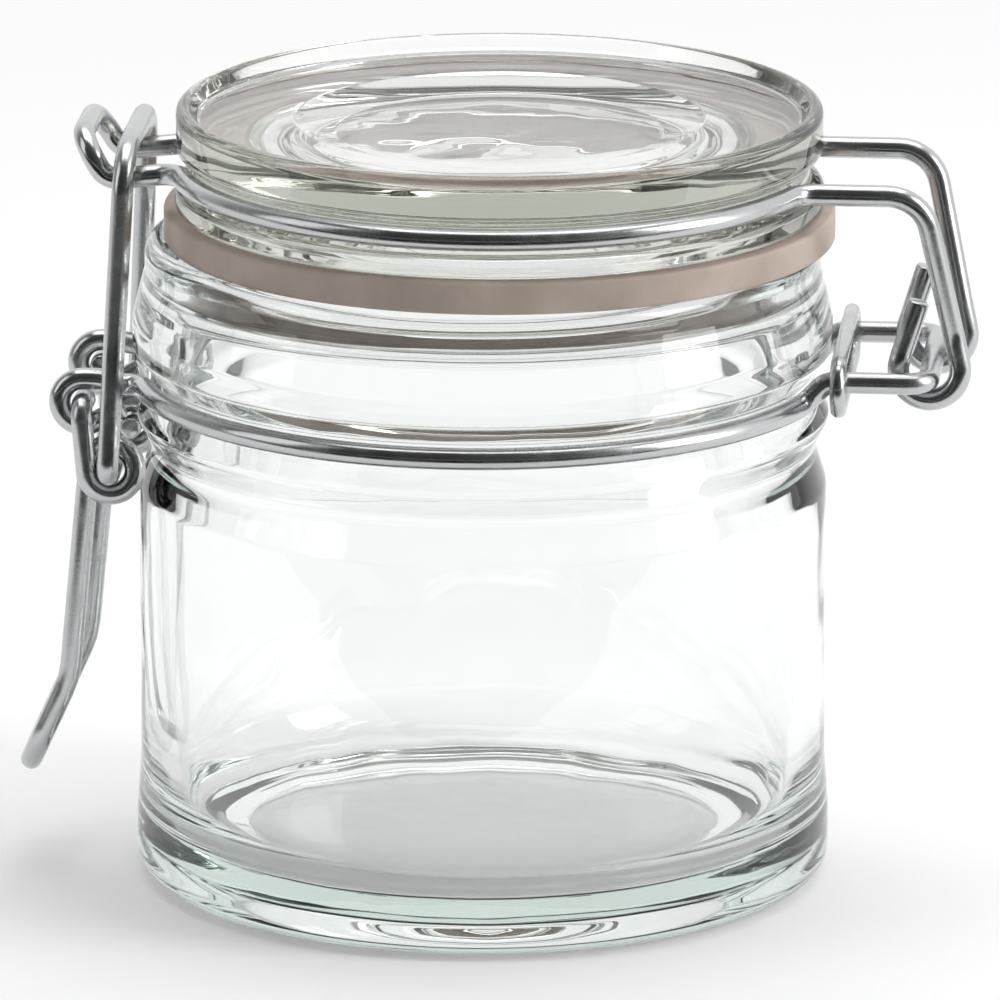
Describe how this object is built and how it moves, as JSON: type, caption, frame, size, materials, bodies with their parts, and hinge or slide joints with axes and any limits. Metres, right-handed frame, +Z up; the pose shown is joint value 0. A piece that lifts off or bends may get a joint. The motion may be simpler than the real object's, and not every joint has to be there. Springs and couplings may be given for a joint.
{
  "type": "clip-top jar",
  "caption": "Low round glass jar with a hinged glass lid, a rubber ring and a wire clip with a lever that draws the lid shut.",
  "frame": {"origin": "middle of the jar's base, on the plane it stands on", "axes": "+X towards the wire hinge, -X towards the clip and its lever, +Z up, +Y across"},
  "size_m": [0.0963, 0.0714, 0.0791],
  "materials": {
    "glass": "clear, fire-polished",
    "rubber": "matt natural rubber",
    "wire": "bright zinc plate"
  },
  "bodies": {
    "jar": {"jar_body": "glass", "collar_wire": "wire", "ring_clip": "wire"},
    "lid": {"lid_glass": "glass", "seal_ring": "rubber", "lid_wire": "wire"},
    "lever": {"lever_wire": "wire"},
    "yoke": {"yoke_wire": "wire"}
  },
  "joints": [
    {"name": "lid_hinge", "type": "hinge", "parent": "jar", "child": "lid", "pos_m": [0.0454, 0, 0.0537], "axis": [0, 1, 0], "range_deg": [0, 180]},
    {"name": "lever_pivot", "type": "hinge", "parent": "jar", "child": "lever", "pos_m": [-0.03952, 0, 0.0494], "axis": [0, 1, 0], "range_deg": [0, 110]},
    {"name": "yoke_pivot", "type": "hinge", "parent": "lever", "child": "yoke", "pos_m": [-0.03659, 0, 0.04282], "axis": [0, 1, 0], "range_deg": [-88, 0]}
  ],
  "couplings": [
    {"joint": "yoke_pivot", "follows": "lever_pivot", "ratio": -0.8}
  ]
}
